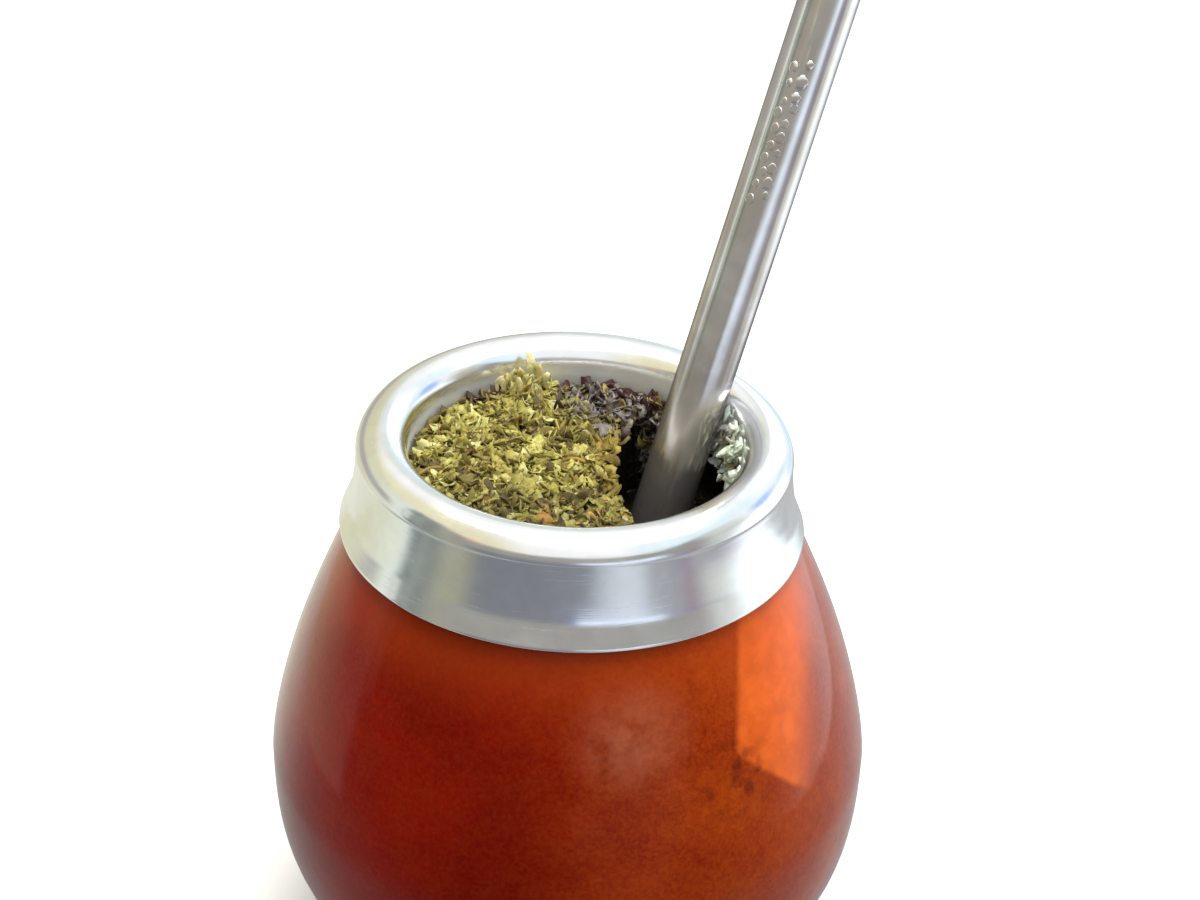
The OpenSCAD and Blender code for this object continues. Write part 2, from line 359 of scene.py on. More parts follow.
def lacquerMaterial():
    net, spot = newMaterial("redLacquer")
    tones = gourdTones
    patches, blots, grains = net.mottled(spot, 52, 260, 1500)
    shifted = net.put("VectorMath", {0: spot, 1: (0.011, 0.023, 0.4)}, operation="ADD").outputs[0]
    regions, smears, pores = net.mottled(shifted, 24, 620, 2600)
    x, y, z = net.axes(spot)
    # redder on the left and at the top, browner and lighter to the right and below: the gourd's own
    # mottling, brightened on the right as painted light from that side
    side = net.span(x, -0.011, 0.015)
    base = net.mix(patches, tones["deep"], tones["red"])
    warm = net.mix(patches, tones["brown"], tones["amber"])
    colour = net.mix(net.times(side, net.scaled(regions, 0.7, 0.25)), base, warm)
    colour = net.tint(colour, tones["brown"], blots, net.scaled(side, 0.32, 0.14))
    colour = net.tint(colour, tones["deep"], smears, 0.3)
    colour = net.tint(colour, tones["amber"], grains, net.scaled(side, 0.16, 0.08))
    colour = net.tint(colour, tones["dark"], pores, 0.18)
    # painted sunlight: a light orange patch with a slanted lower edge as its painted shadow edge, where
    # direct light falls on the right side
    shake = net.scaled(regions, 0.0004, -0.0002)
    across = net.calc("ADD", x, shake)
    slant = net.scaled(across, tones["fieldSlope"], net.calc("ADD", z, shake))
    uneven = net.scaled(blots, 0.3, net.scaled(regions, 0.3, 0.52))
    colour = net.tint(colour, tones["glow"], net.span(across, *tones["fieldLeft"]),
                      net.span(slant, *tones["fieldLow"]), net.span(across, *tones["fieldRight"]),
                      net.span(y, *tones["fieldFront"]), uneven)
    # a painted pinkish sheen spot beside it, a soft painted reflection
    near = net.span(net.gap(spot, tones["bloom"]), *tones["bloomReach"])
    colour = net.tint(colour, tones["pale"], near, net.scaled(blots, 0.5, 0.25), 0.54)
    # dark specks under the painted sunlit patch
    near = net.span(net.gap(spot, tones["pins"]), *tones["pinReach"])
    colour = net.tint(colour, tones["dark"], net.span(net.cloud(spot, 340, 3), 0.46, 0.64), near, 0.6)
    # painted light: the colour turns amber towards the collar to fill in the hem's shadow, and painted
    # shade darkens it just under the hem
    colour = net.tint(colour, tones["thin"], net.span(z, *tones["thinFrom"]), 0.38)
    colour = net.tint(colour, tones["dark"], net.span(z, *tones["grimeFrom"]), 0.25)
    wear = net.scratched(spot, 380, 0.66)
    rough = net.scaled(wear, 0.2, net.scaled(blots, 0.1, 0.3))
    peel = net.bump(net.cloud(spot, 330), 0.1, 0.0004)
    facing = net.put("LayerWeight", {"Blend": 0.5}).outputs["Facing"]
    return net.finish(baseColor=colour, roughness=rough, normal=peel, coatRoughness=0.09, ior=1.45,
                      coatWeight=net.span(facing, 0.2, 0.8, 0.06, 1.0), specularIORLevel=0.035)


def gourdInsideMaterial():
    net, spot = newMaterial("gourdInside")
    patches, blots = net.mottled(spot, 140, 700, 2600)[:2]
    # near black: the inside's own dark wet brown, darkened further as painted shade for the shaded hollow
    # of the mouth
    colour = net.mix(patches, (0.01, 0.006, 0.003), (0.03, 0.015, 0.006))
    colour = net.tint(colour, (0.045, 0.026, 0.01), blots, 0.4)
    return net.finish(baseColor=colour, roughness=net.scaled(blots, 0.3, 0.25),
                      normal=net.bump(blots, 0.4, 0.0004))


buildGourd(lacquerMaterial(), gourdInsideMaterial())
print("gourd done")


collarShape = {
    "sheet": 0.9, "hemOut": 32.2, "hemHigh": 3.8, "hemTop": 30.74, "bandTop": 29.7,
    "lipMid": 26.285, "lipLevel": 11.226, "lipRound": 3.583, "skirtLow": 3.81,
    "edgeLevel": 72.0, "lean": 1.2, "turns": 256, "wobble": 0.07,
}


def collarProfile():
    # closed outline of the sheet, counter-clockwise from the foot of the hem
    shape = collarShape
    t, mid, level, low = shape["sheet"], shape["lipMid"], shape["lipLevel"], shape["skirtLow"]
    band, hemOut, hemTop = shape["bandTop"], shape["hemOut"], shape["hemTop"]
    skirt = mid - shape["lipRound"]
    hem = arc(hemOut - t / 2, t * 0.42, t * 0.42, -170, 0, 7)
    flare = smoothPath([(hemOut - 0.19, 0.66), (hemTop + 0.62, 2.2), (hemTop + 0.14, 3.4),
                        (hemTop - 0.17, 4.6), (band + 0.5, 6.6), (band + 0.22, 9.0),
                        (band + 0.08, 11.1)], 6)
    crease = [(band + 0.065, 11.36), (band + 0.07, 11.52), (band + 0.09, 11.66)]
    lip = arc(mid, level, shape["lipRound"], 9, 180, 48)
    inside = [(skirt, z) for z in np.linspace(level - 0.6, low + 0.45, 10)]
    foot = arc(skirt + t / 2, low + t / 2, t / 2, 190, 350, 6)
    back = [(skirt + t, z) for z in np.linspace(low + 0.6, 8.0, 6)]
    groove = [(skirt + t + 0.4, 8.6), (mid, 7.75), (band - t - 0.5, 8.4)]
    under = [(band - t - 0.02, 8.0), (hemTop - t, shape["hemHigh"]), (hemOut - t - 0.35, 1.2)]
    return hem + flare + crease + lip + inside + foot + back + groove + under


def buildCollar(material):
    shape = collarShape
    bm = spinProfile(collarProfile(), shape["turns"], closed=True)
    bm.normal_update()
    for vert in bm.verts:
        # hand pressed sheet: shallow waves, always inwards of the true outline
        wide = noise.noise(vert.co * 0.075 + Vector((2, 8, 5)))
        fine = noise.noise(vert.co * 0.22 + Vector((4, 1, 3)))
        vert.co -= vert.normal * shape["wobble"] * (0.6 - 0.45 * wide - 0.15 * fine)
    turn = Matrix.Rotation(math.radians(shape["lean"]), 3, "Y")
    bmesh.ops.rotate(bm, verts=bm.verts, cent=(0, 0, 0), matrix=turn)
    bmesh.ops.translate(bm, verts=bm.verts, vec=(0, 0, shape["edgeLevel"]))
    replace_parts(finishMesh("spunCollar", bm, material), "collar")


def collarMaterial():
    net, spot = newMaterial("spunAluminium")
    patches, blots = net.mottled(spot, 90, 420, 2200)[:2]
    x, y, z = net.axes(spot)
    radius = net.gap(net.put("CombineXYZ", {"X": x, "Y": y}).outputs[0], (0, 0, 0))
    around = net.calc("ARCTAN2", y, x)
    # coordinates that change across the lathe's rings and hardly along them
    rings = net.put("CombineXYZ", {"X": radius, "Y": z, "Z": net.times(around, 0.0012)}).outputs[0]
    lathe = net.cloud(rings, 5200, rough=0.6)
    cuts = net.scratched(rings, 2600, 0.6)
    colour = net.mix(patches, (0.8, 0.81, 0.82), (0.88, 0.885, 0.89))
    colour = net.tint(colour, (0.6, 0.59, 0.55), blots, 0.12)
    # tea film on the inner wall, which is duller than the rest
    colour = net.tint(colour, (0.62, 0.56, 0.38), net.span(radius, 0.0238, 0.0226),
                      net.span(z, 0.0845, 0.0785), net.scaled(blots, 0.35, 0.05))
    inner = net.times(net.span(radius, 0.024, 0.0229), net.span(z, 0.085, 0.0825))
    rough = net.scaled(patches, 0.05, 0.12)
    for value, share in ((lathe, 0.07), (cuts, 0.15), (inner, 0.32)):
        rough = net.scaled(value, share, rough)
    return net.finish(baseColor=colour, metallic=net.scaled(inner, -0.6, 1.0), roughness=rough,
                      normal=net.bump(net.scaled(cuts, -0.5, lathe), 0.06, 0.0001))


buildCollar(collarMaterial())
print("collar done")


strawShape = {
    "outer": 4.0, "wall": 0.7, "long": 175.0, "lean": 20.8, "turn": 40.0,
    "foot": (-5.2296, -9.6181, 9.5), "turns": 64,
    "markFrom": 111.5, "markTo": 130.5, "markCount": 20, "markSide": 209.0, "markSize": 0.66,
    "markHigh": 0.13, "markStep": 10.0, "clearOver": 5.0, "worn": 0.22,
}


def strawFrame():
    # from the straw's own frame, its foot at the origin and its axis on Z, to the part's frame
    shape = strawShape
    turn = Matrix.Rotation(math.radians(shape["turn"]), 4, "Z")
    lean = Matrix.Rotation(math.radians(shape["lean"]), 4, "Y")
    return Matrix.Translation(Vector(shape["foot"])) @ (turn @ lean)


def buildStraw(material):
    shape = strawShape
    r = shape["outer"]
    t = shape["wall"]
    high = shape["long"]
    bottom = arc(r - t / 2, t / 2, t / 2, 180, 360, 8)
    top = arc(r - t / 2, high - t / 2, t / 2, 0, 180, 8)
    side = [(r, z) for z in np.linspace(3, high - 3, 60)]
    bore = [(r - t, z) for z in np.linspace(high - 3, 3, 30)]
    bm = spinProfile(bottom + side + top + bore, shape["turns"], closed=True)
    bmesh.ops.transform(bm, matrix=strawFrame(), verts=bm.verts)
    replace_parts(finishMesh("straw_tube", bm, material), "straw")


def buildMarks(material):
    # small lozenges in two staggered rows, worn low except near the top
    shape = strawShape
    bm = bmesh.new()
    rng = np.random.default_rng(5)
    for row, z in enumerate(np.linspace(shape["markFrom"], shape["markTo"], shape["markCount"])):
        clear = z > shape["markTo"] - shape["clearOver"]
        high = shape["markHigh"] * (1.0 if clear else shape["worn"])
        step = shape["markStep"] * (1 if row % 2 else -1)
        size = shape["markSize"] * rng.uniform(0.6, 1.15) * (1.3 if clear else 1.0)
        lozenge = bmesh.ops.create_icosphere(bm, subdivisions=2, radius=1.0)["verts"]
        bmesh.ops.scale(bm, vec=(high, size, size * 1.2), verts=lozenge)
        spin = Matrix.Rotation(math.radians(shape["markSide"] + step + rng.normal(0, 3)), 4, "Z")
        lift = Matrix.Translation((shape["outer"] - 0.01, 0, z + rng.normal(0, 0.25)))
        bmesh.ops.transform(bm, matrix=strawFrame() @ spin @ lift, verts=lozenge)
    finishMesh("strawMarks", bm, material)


def steelMaterial():
    net, spot = newMaterial("polishedSteel")
    matrix = strawFrame()
    own = net.moved(spot, "TEXTURE", Location=matrix.translation * mm, Rotation=matrix.to_euler())
    patches = net.mottled(own, 110, 600, 2600)["Patches"]
    lines = net.cloud(net.moved(own, Scale=(1, 1, 0.03)), 2600)
    cuts = net.scratched(net.moved(own, Rotation=(0.2, 0.1, 0), Scale=(1, 1, 0.1)), 800, 0.63)
    colour = net.mix(patches, (0.69, 0.655, 0.61), (0.81, 0.79, 0.77))
    # tea stain, thicker towards the leaf
    stain = net.times(net.span(net.scaled(patches, 0.012, net.axes(own)["Z"]), 0.108, 0.074),
                      net.scaled(patches, 0.3, 0.55))
    colour = net.mix(stain, colour, (0.165, 0.14, 0.125))
    rough = net.scaled(lines, 0.08, 0.12)
    for value, share in ((cuts, 0.2), (stain, 0.06)):
        rough = net.scaled(value, share, rough)
    return net.finish(baseColor=colour, metallic=net.scaled(stain, -0.32, 1.0), roughness=rough,
                      normal=net.bump(net.scaled(cuts, -0.5, lines), 0.05, 0.0001),
                      specularTint=(0.3, 0.28, 0.34))


steel = steelMaterial()
buildStraw(steel)
buildMarks(steel)
print("straw done")


drinkShape = {"level": 66.31, "climb": 0.32, "reach": 0.8}


def mergedCopy(node):
    # the CAD node's mesh, copied, in millimetres and with its corners joined
    bm = bmesh.new()
    bm.from_mesh(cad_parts[node].data)
    bmesh.ops.scale(bm, vec=(1 / mm,) * 3, verts=bm.verts)
    bmesh.ops.remove_doubles(bm, verts=bm.verts, dist=0.002)
    return bm


def edgesOf(faces):
    return list({edge for face in faces for edge in face.edges})


def buildDrink(material):
    # the surface climbs a little along its shore
    shape = drinkShape
    bm = mergedCopy("drink")
    top = [f for f in bm.faces if f.normal.z > 0.99 and f.calc_center_median().z > shape["level"] - 0.05]
    edges = edgesOf(top)
    rim = [e for e in edges if sum(g in top for g in e.link_faces) == 1]
    shore = np.array([tuple(v.co)[:2] for e in rim for v in e.verts])
    bmesh.ops.subdivide_edges(bm, edges=edges, cuts=3, use_grid_fill=True)
    for vert in bm.verts:
        if vert.co.z > shape["level"] - 0.01:
            gap = np.sqrt(((shore - np.array(vert.co[:2])) ** 2).sum(1)).min()
            vert.co.z += shape["climb"] * (math.exp(-gap / shape["reach"]) - 1)
    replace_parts(finishMesh("darkDrink", bm, material, recalc=False), "drink")


def drinkMaterial():
    net, spot = newMaterial("darkInfusion")
    patches, blots, grains = net.mottled(spot, 220, 900, 3000)
    colour = net.mix(patches, (0.006, 0.004, 0.002), (0.016, 0.01, 0.004))
    colour = net.tint(colour, (0.05, 0.04, 0.015), grains, 0.15)
    return net.finish(baseColor=colour, roughness=net.scaled(blots, 0.06, 0.05),
                      normal=net.bump(net.cloud(spot, 160, 1), 0.05, 0.0006), ior=1.34)


buildDrink(drinkMaterial())
print("drink done")


heapShape = {
    "sink": 0.95, "relief": 0.55, "cuts": 3, "topFrom": 66.6, "reach": 22.4,
    # levels: the heap's own surface, the pit's upper edge, the bank in the pit, the soaked back
    "heapFrom": 77.0, "pitTo": 80.2, "bankTo": 72.0, "bankSide": 8.0, "backFrom": 76.0,
    "dryFrom": 79.2, "soakedTo": 76.0,
}

leafColours = {
    "dry": [(0.085, 0.058, 0.01), (0.17, 0.13, 0.02), (0.26, 0.21, 0.034), (0.34, 0.29, 0.058),
            (0.43, 0.385, 0.105), (0.52, 0.49, 0.2)],
    "dryShare": [0.06, 0.15, 0.28, 0.29, 0.17, 0.05],
    "rust": [(0.25, 0.125, 0.02), (0.15, 0.07, 0.014), (0.31, 0.19, 0.035)],
    # the darkest wet tones are wet leaf taken to near black, partly painted shade for the deep pit
    "wet": [(0.01, 0.006, 0.005), (0.035, 0.02, 0.014), (0.085, 0.07, 0.06), (0.17, 0.15, 0.16),
            (0.12, 0.085, 0.022), (0.14, 0.125, 0.13)],
    # the wall tones are pale leaf brightened to near white and bluish: painted glare on the clinging
    # flakes
    "wall": [(0.84, 0.92, 0.74), (0.95, 1.0, 0.97), (0.52, 0.62, 0.52), (0.13, 0.1, 0.04)],
    "wallShare": (0.3, 0.36, 0.2, 0.14),
    "soaked": [(0.13, 0.115, 0.118), (0.085, 0.07, 0.07), (0.17, 0.155, 0.14), (0.03, 0.018, 0.014),
               (0.16, 0.12, 0.035), (0.23, 0.185, 0.06), (0.05, 0.028, 0.02)],
    "rim": (0.04, 0.01, 0.008),
    "peak": [(0.56, 0.46, 0.15), (0.68, 0.62, 0.32), (0.42, 0.3, 0.07), (0.5, 0.46, 0.18)],
    "goldenLoss": (0.16, 0.28, 0.52), "frontLoss": 0.33,
}


def openFaces(bm):
    # the faces of the leaf that lie open inside the mouth
    shape = heapShape
    found = []
    for face in bm.faces:
        mid = face.calc_center_median()
        inMouth = mid.z > shape["topFrom"] and math.hypot(mid.x, mid.y) < shape["reach"]
        if inMouth and face.normal.z > 0.02:
            found.append(face)
    return found


def leafSurface():
    # the open surface as triangles: corners and unit normals
    bm = mergedCopy("yerba")
    bmesh.ops.triangulate(bm, faces=bm.faces)
    faces = openFaces(bm)
    corners = np.array([[tuple(v.co) for v in f.verts] for f in faces])
    normals = np.array([tuple(f.normal) for f in faces])
    bm.free()
    return corners, normals


def buildCore(material):
    # the soaked body of the leaf, a little smaller than the heap, its top broken up
    shape = heapShape
    bm = mergedCopy("yerba")
    bmesh.ops.subdivide_edges(bm, edges=edgesOf(openFaces(bm)), cuts=shape["cuts"], use_grid_fill=True)
    bm.normal_update()
    low = shape["topFrom"] - 0.2
    for vert in bm.verts:
        spot = vert.co
        if spot.z < low or math.hypot(spot.x, spot.y) > shape["reach"] or vert.normal.z < 0.02:
            continue
        calm = min(1.0, max(0.0, (spot.z - low) / 1.5))
        rough = noise.noise(spot * 0.9) * 0.6 + noise.noise(spot * 2.1 + Vector((3, 3, 3))) * 0.4
        vert.co -= vert.normal * (shape["sink"] - shape["relief"] * rough) * calm
    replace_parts(finishMesh("leafCore", bm, material, smooth=False, recalc=False), "yerba")


def shapeArrays(bm):
    # vertices, and the faces' corners as one list with each face's count
    bm.verts.index_update()
    points = np.array([tuple(v.co) for v in bm.verts])
    loops = [[v.index for v in f.verts] for f in bm.faces]
    bm.free()
    return points, np.concatenate(loops), np.array([len(l) for l in loops])


def flakeShape(rng, wide, curl):
    # one torn bit of leaf, unit length: a bent sheet with an uneven outline
    bm = bmesh.new()
    bmesh.ops.create_grid(bm, x_segments=3, y_segments=2, size=0.5)
    for vert in bm.verts:
        x = vert.co.x
        y = vert.co.y
        taper = 1 - (0.35 + 0.55 * rng.random()) * abs(2 * x) ** 2.2
        vert.co.x = x + rng.normal(0, 0.035)
        vert.co.y = (y * taper + rng.normal(0, 0.04)) * wide
        vert.co.z = curl * (x * x - 0.1) * 1.4 + curl * 0.8 * y * x + rng.normal(0, 0.035)
    bmesh.ops.solidify(bm, geom=bm.faces, thickness=0.055)
    bmesh.ops.recalc_face_normals(bm, faces=bm.faces)
    return shapeArrays(bm)


def crumbShape(rng):
    bm = bmesh.new()
    bmesh.ops.create_icosphere(bm, subdivisions=1, radius=0.5)
    bmesh.ops.scale(bm, vec=(1.0, 0.75 + 0.2 * rng.random(), 0.35 + 0.3 * rng.random()), verts=bm.verts)
    for vert in bm.verts:
        vert.co *= 1 + rng.normal(0, 0.16)
    return shapeArrays(bm)


def stickShape(rng):
    # a bit of stalk, unit length, slightly bent, cut square at both ends
    bm = bmesh.new()
    thick = 0.07 + 0.05 * rng.random()
    bmesh.ops.create_cone(bm, cap_ends=True, segments=6, radius1=thick, radius2=thick * 0.8, depth=1.0)
    upright = [e for e in bm.edges if abs(e.verts[0].co.z - e.verts[1].co.z) > 0.5]
    bmesh.ops.subdivide_edges(bm, edges=upright, cuts=2)
    bend = rng.normal(0, 0.1)
    for vert in bm.verts:
        vert.co.x += bend * (1 - (2 * vert.co.z) ** 2)
        vert.co.z += rng.normal(0, 0.01)
    bmesh.ops.rotate(bm, verts=bm.verts, cent=(0, 0, 0), matrix=Matrix.Rotation(math.pi / 2, 3, "Y"))
    return shapeArrays(bm)


def unit(rows):
    return rows / np.linalg.norm(rows, axis=1)[:, None]


def columns(*parts):
    return np.stack(parts, axis=1)


def smoothStep(value, low, high):
    t = np.clip((value - low) / (high - low), 0, 1)
    return t * t * (3 - 2 * t)


def anyOf(palette, count, rng):
    return np.array(palette)[rng.integers(0, len(palette), count)]


def samplePlaces(weigh, count, rng):
    # random places on the open surface; weigh gives each triangle's share from its middle and normal
    corners, normals = surface
    across = np.cross(corners[:, 1] - corners[:, 0], corners[:, 2] - corners[:, 0])
    area = np.linalg.norm(across, axis=1) / 2
    share = area * weigh(corners.mean(1), normals)
    picks = rng.choice(len(area), count, p=share / share.sum())
    a = rng.random((count, 2))
    flip = a.sum(1) > 1
    a[flip] = 1 - a[flip]
    c = corners[picks]
    spots = c[:, 0] + (c[:, 1] - c[:, 0]) * a[:, :1] + (c[:, 2] - c[:, 0]) * a[:, 1:]
    return spots, normals[picks]


def layTurns(normals, spread, rng):
    # a turning matrix for each flake: its flat side near the surface, leaning by spread degrees
    count = len(normals)
    up = unit(normals + rng.normal(0, math.tan(math.radians(spread)), (count, 3)))
    side = unit(np.cross(up, rng.normal(0, 1, (count, 3))))
    return np.stack([side, np.cross(up, side), up], axis=2)


def standingTurns(count, tip, rng):
    # upright flakes: long side up, flat side roughly towards the mouth
    up = unit(columns(rng.normal(0, tip, count), rng.normal(0, tip, count), np.ones(count)))
    face = columns(rng.normal(0, 0.6, count), -np.ones(count), rng.normal(0, 0.2, count))
    side = unit(np.cross(face, up))
    return np.stack([up, side, np.cross(up, side)], axis=2)


def leaned(x, z, degrees):
    turn = math.radians(degrees)
    return x * math.cos(turn) + z * math.sin(turn), z * math.cos(turn) - x * math.sin(turn)


def keepClear(points):
    # moves each copy away from the collar's wall and lip and from the straw; points is (copy, vertex, 3)
    shape = collarShape
    x, z = leaned(points[..., 0], points[..., 2] - shape["edgeLevel"], -shape["lean"])
    radius = np.hypot(x, points[..., 1])
    hole = shape["lipMid"] - shape["lipRound"]
    over = np.clip(z - shape["lipLevel"], 0, shape["lipRound"])
    limit = shape["lipMid"] - np.sqrt(shape["lipRound"] ** 2 - over ** 2)
    limit = np.minimum(limit, hole + 3) - 0.06
    excess = np.clip((radius - limit).max(1), 0, None)
    away = unit(points.mean(1)[:, :2])
    points[..., :2] -= (away * excess[:, None])[:, None, :]
    matrix = strawFrame()
    along = np.array(matrix.col[2].xyz)
    rise = points - np.array(matrix.translation)
    off = rise - (rise @ along)[..., None] * along
    gap = np.linalg.norm(off, axis=2)
    short = np.clip((strawShape["outer"] + 0.08 - gap).max(1), 0, None)
    push = off.mean(1)
    push[:, 2] = 0
    points += (unit(push) * short[:, None])[:, None, :]
    return points


def joinCopies(name, shapes, picks, turns, spots, sizes, colours, damp, material):
    # every copy of the shapes in one mesh, each with its own colour and dampness
    groups = []
    start = 0
    for k, (points, corners, counts) in enumerate(shapes):
        mine = np.where(picks == k)[0]
        if not len(mine):
            continue
        size = len(points)
        made = np.einsum("nij,nvj->nvi", turns[mine], points[None] * sizes[mine][:, None, :])
        made = keepClear(made + spots[mine][:, None, :]).reshape(-1, 3) * mm
        steps = start + np.arange(len(mine)) * size
        start += len(mine) * size
        groups.append((made, np.repeat(colours[mine], size, axis=0), np.repeat(damp[mine], size),
                       (corners[None] + steps[:, None]).ravel(), np.tile(counts, len(mine))))
    points, tones, damps, loops, totals = (np.concatenate(part) for part in zip(*groups))
    mesh = bpy.data.meshes.new(name)
    mesh.vertices.add(len(points))
    mesh.vertices.foreach_set("co", points.ravel())
    mesh.loops.add(len(loops))
    mesh.loops.foreach_set("vertex_index", loops)
    mesh.polygons.add(len(totals))
    mesh.polygons.foreach_set("loop_start", np.concatenate([[0], np.cumsum(totals)[:-1]]))
    mesh.polygons.foreach_set("loop_total", totals)
    mesh.update(calc_edges=True)
    tone = mesh.attributes.new("leafColour", "FLOAT_COLOR", "POINT")
    tone.data.foreach_set("color", np.concatenate([tones, np.ones((len(points), 1))], axis=1).ravel())
    wet = mesh.attributes.new("damp", "FLOAT", "POINT")
    wet.data.foreach_set("value", damps)
    mesh.validate()
    print(name, len(picks), "copies,", int((totals - 2).sum()), "triangles")
    asPiece(name, mesh, material)


def dampness(spots):
    # 0 on the dry heap, 1 in the pit; the back of the heap has drawn up some water
    x, y, z = spots.T
    pit = smoothStep(z, heapShape["dryFrom"], heapShape["soakedTo"])
    back = smoothStep(y, 9.5, 15.0) * smoothStep(x, -3.5, 0.5) * 0.85
    brink = smoothStep(x, 4.8, 9.0) * smoothStep(y, 2.0, 9.0) * 0.9
    return np.clip(np.maximum(pit, np.maximum(back, brink)), 0, 1)


def leafTones(spots, rng):
    # a colour for each bit: pale and dry on the heap, darker to the front, soaked near the pit
    count = len(spots)
    colours = leafColours
    x, y, z = spots.T
    dry = np.array(colours["dry"])
    share = np.array(colours["dryShare"])
    front = smoothStep(y, -4.0, -15.0)
    kind = rng.choice(len(dry), count, p=share / share.sum())
    # neighbours share a tone, so the heap shows pale and dark clumps
    clump = np.array([noise.noise(Vector(p) * 0.36) + 0.6 * noise.noise(Vector(p) * 0.16) for p in spots])
    kind = np.clip(np.round(kind + 2.5 * clump - 1.8 * front * rng.random(count)), 0, len(dry) - 1)
    tones = dry[kind.astype(int)] * (1 - colours["frontLoss"] * front[:, None])
    golden = smoothStep(x, 0.5, 4.5) * smoothStep(y, -9.0, -3.0)
    tones = tones * (1 - golden[:, None] * np.array(colours["goldenLoss"]))
    rust = anyOf(colours["rust"], count, rng)
    rustShare = 0.02 + 0.26 * front * smoothStep(x, -8.0, 4.0)
    tones = np.where((rng.random(count) < rustShare)[:, None], rust, tones)
    damp = dampness(spots)
    damp = np.where(rng.random(count) < 0.25, damp * rng.random(count), damp)
    wet = anyOf(colours["wet"], count, rng)
    tones = tones * (1 - damp[:, None]) + wet * damp[:, None]
    tones = tones * rng.uniform(0.85, 1.15, (count, 1))
    return np.clip(tones, 0, 1), damp


def soakedTones(spots, rng):
    # grey and purplish leaves, with a dark red rim along the wall
    count = len(spots)
    tones = anyOf(leafColours["soaked"], count, rng) * rng.uniform(0.7, 1.2, (count, 1))
    rim = (np.hypot(spots[:, 0], spots[:, 1]) > 19.3) | (spots[:, 0] < -9)
    tones[rim] = leafColours["rim"]
    return tones, np.where(rim, 0.15, 0.45)


def onHeap(middle, normals):
    return ((normals[:, 2] > 0.5) & (middle[:, 2] > heapShape["heapFrom"])).astype(float)


def onPitWall(middle, normals):
    return ((middle[:, 2] < heapShape["pitTo"]) & (normals[:, 2] < 0.75)).astype(float) + 0.02


def onBank(middle, normals):
    return ((middle[:, 2] < heapShape["bankTo"]) & (middle[:, 0] > heapShape["bankSide"])).astype(float)


def onBack(middle, normals):
    # behind the pit, along its far edge, and a small hollow at the left end of the tuft
    x, y, z = middle.T
    back = smoothStep(y, 7.0, 13.0) * smoothStep(x, -3.5, 0.0)
    brink = smoothStep(x, 5.0, 8.0) * smoothStep(y, 2.0, 8.0)
    notch = smoothStep(np.hypot(x + 12.5, y - 17.3), 3.4, 1.6)
    return np.maximum(np.maximum(back, brink), notch) * (z > heapShape["backFrom"]) + 1e-9


def leafMaterial(name, roughDry, roughWet, scale):
    net, spot = newMaterial(name)
    tone = net.put("Attribute", attribute_name="leafColour").outputs["Color"]
    damp = net.put("Attribute", attribute_name="damp").outputs["Fac"]
    tissue = net.group(fibre, {"Vector": spot, "Scale": scale})
    rough = net.put("MapRange", {"Value": damp, "To Min": roughDry, "To Max": roughWet}).outputs[0]
    return net.finish(baseColor=net.mix(1.0, tone, tissue["Shade"], "MULTIPLY"), roughness=rough,
                      normal=net.bump(tissue["Height"], 0.35, 0.0002), coatWeight=net.times(damp, 0.5),
         coatRoughness=0.12)


def coreMaterial():
    # fine leaf dust over the soaked core, darker in the pit and at the back: wet leaf, taken to near
    # black as painted shade
    net, spot = newMaterial("leafDust")
    x, y, z = net.axes(spot)
    blots, grains = net.mottled(spot, 420, 1300, 3600)[1:]
    tissue = net.group(fibre, {"Vector": spot, "Scale": 2200.0})
    dry = net.mix(blots, (0.045, 0.034, 0.01), (0.17, 0.14, 0.04))
    dry = net.tint(dry, (0.3, 0.26, 0.085), grains, 0.5)
    wet = net.mix(blots, (0.004, 0.003, 0.002), (0.022, 0.016, 0.008))
    behind = net.times(net.span(y, 0.01, 0.016), net.span(x, -0.0035, 0.001))
    soaked = net.calc("MAXIMUM", net.span(z, 0.0785, 0.0755), behind)
    return net.finish(baseColor=net.mix(soaked, dry, wet), roughness=net.scaled(soaked, -0.45, 0.85),
                      normal=net.bump(tissue["Height"], 0.6, 0.0003))


dryMaterial = leafMaterial("dryLeaf", 0.78, 0.32, 1700.0)
stalkMaterial = leafMaterial("leafStalk", 0.7, 0.3, 2600.0)
buildCore(coreMaterial())
surface = leafSurface()
print("leaf core done", len(surface[0]), "surface triangles")

shapeRng = np.random.default_rng(11)
flakeShapes = [flakeShape(shapeRng, shapeRng.uniform(0.45, 0.9), shapeRng.normal(0.15, 0.28))
               for _ in range(18)]
crumbShapes = [crumbShape(shapeRng) for _ in range(10)]
stickShapes = [stickShape(shapeRng) for _ in range(8)]

# each layer's shapes, where they lie, how many; their length, width for their length and height over
# the surface in millimetres; how many degrees they lean; the seed
leafLayers = {
    "leafCrumbs": (crumbShapes, onHeap, 3600, (0.4, 1.0), (0.7, 1.1), (-0.8, 0.1), 40, 21),
    "leafFlakes": (flakeShapes, onHeap, 2900, (1.2, 3.1), (0.6, 1.15), (-0.7, 0.25), 30, 22),
    "leafStalks": (stickShapes, onHeap, 60, (1.8, 4.2), (0.9, 1.1), (-0.35, 0.15), 16, 23, stalkMaterial),
    "wetFlakes": (flakeShapes, onPitWall, 900, (1.2, 2.8), (0.6, 1.15), (-0.6, 0.0), 32, 24),
    "soakedLeaves": (flakeShapes, onBack, 150, (2.0, 3.8), (0.55, 0.9), (-0.25, 0.3), 24, 26,
                     dryMaterial, soakedTones),
    "bankFlakes": (flakeShapes, onBank, 170, (1.2, 2.8), (0.6, 1.15), (-0.5, 0.05), 32, 25),
}


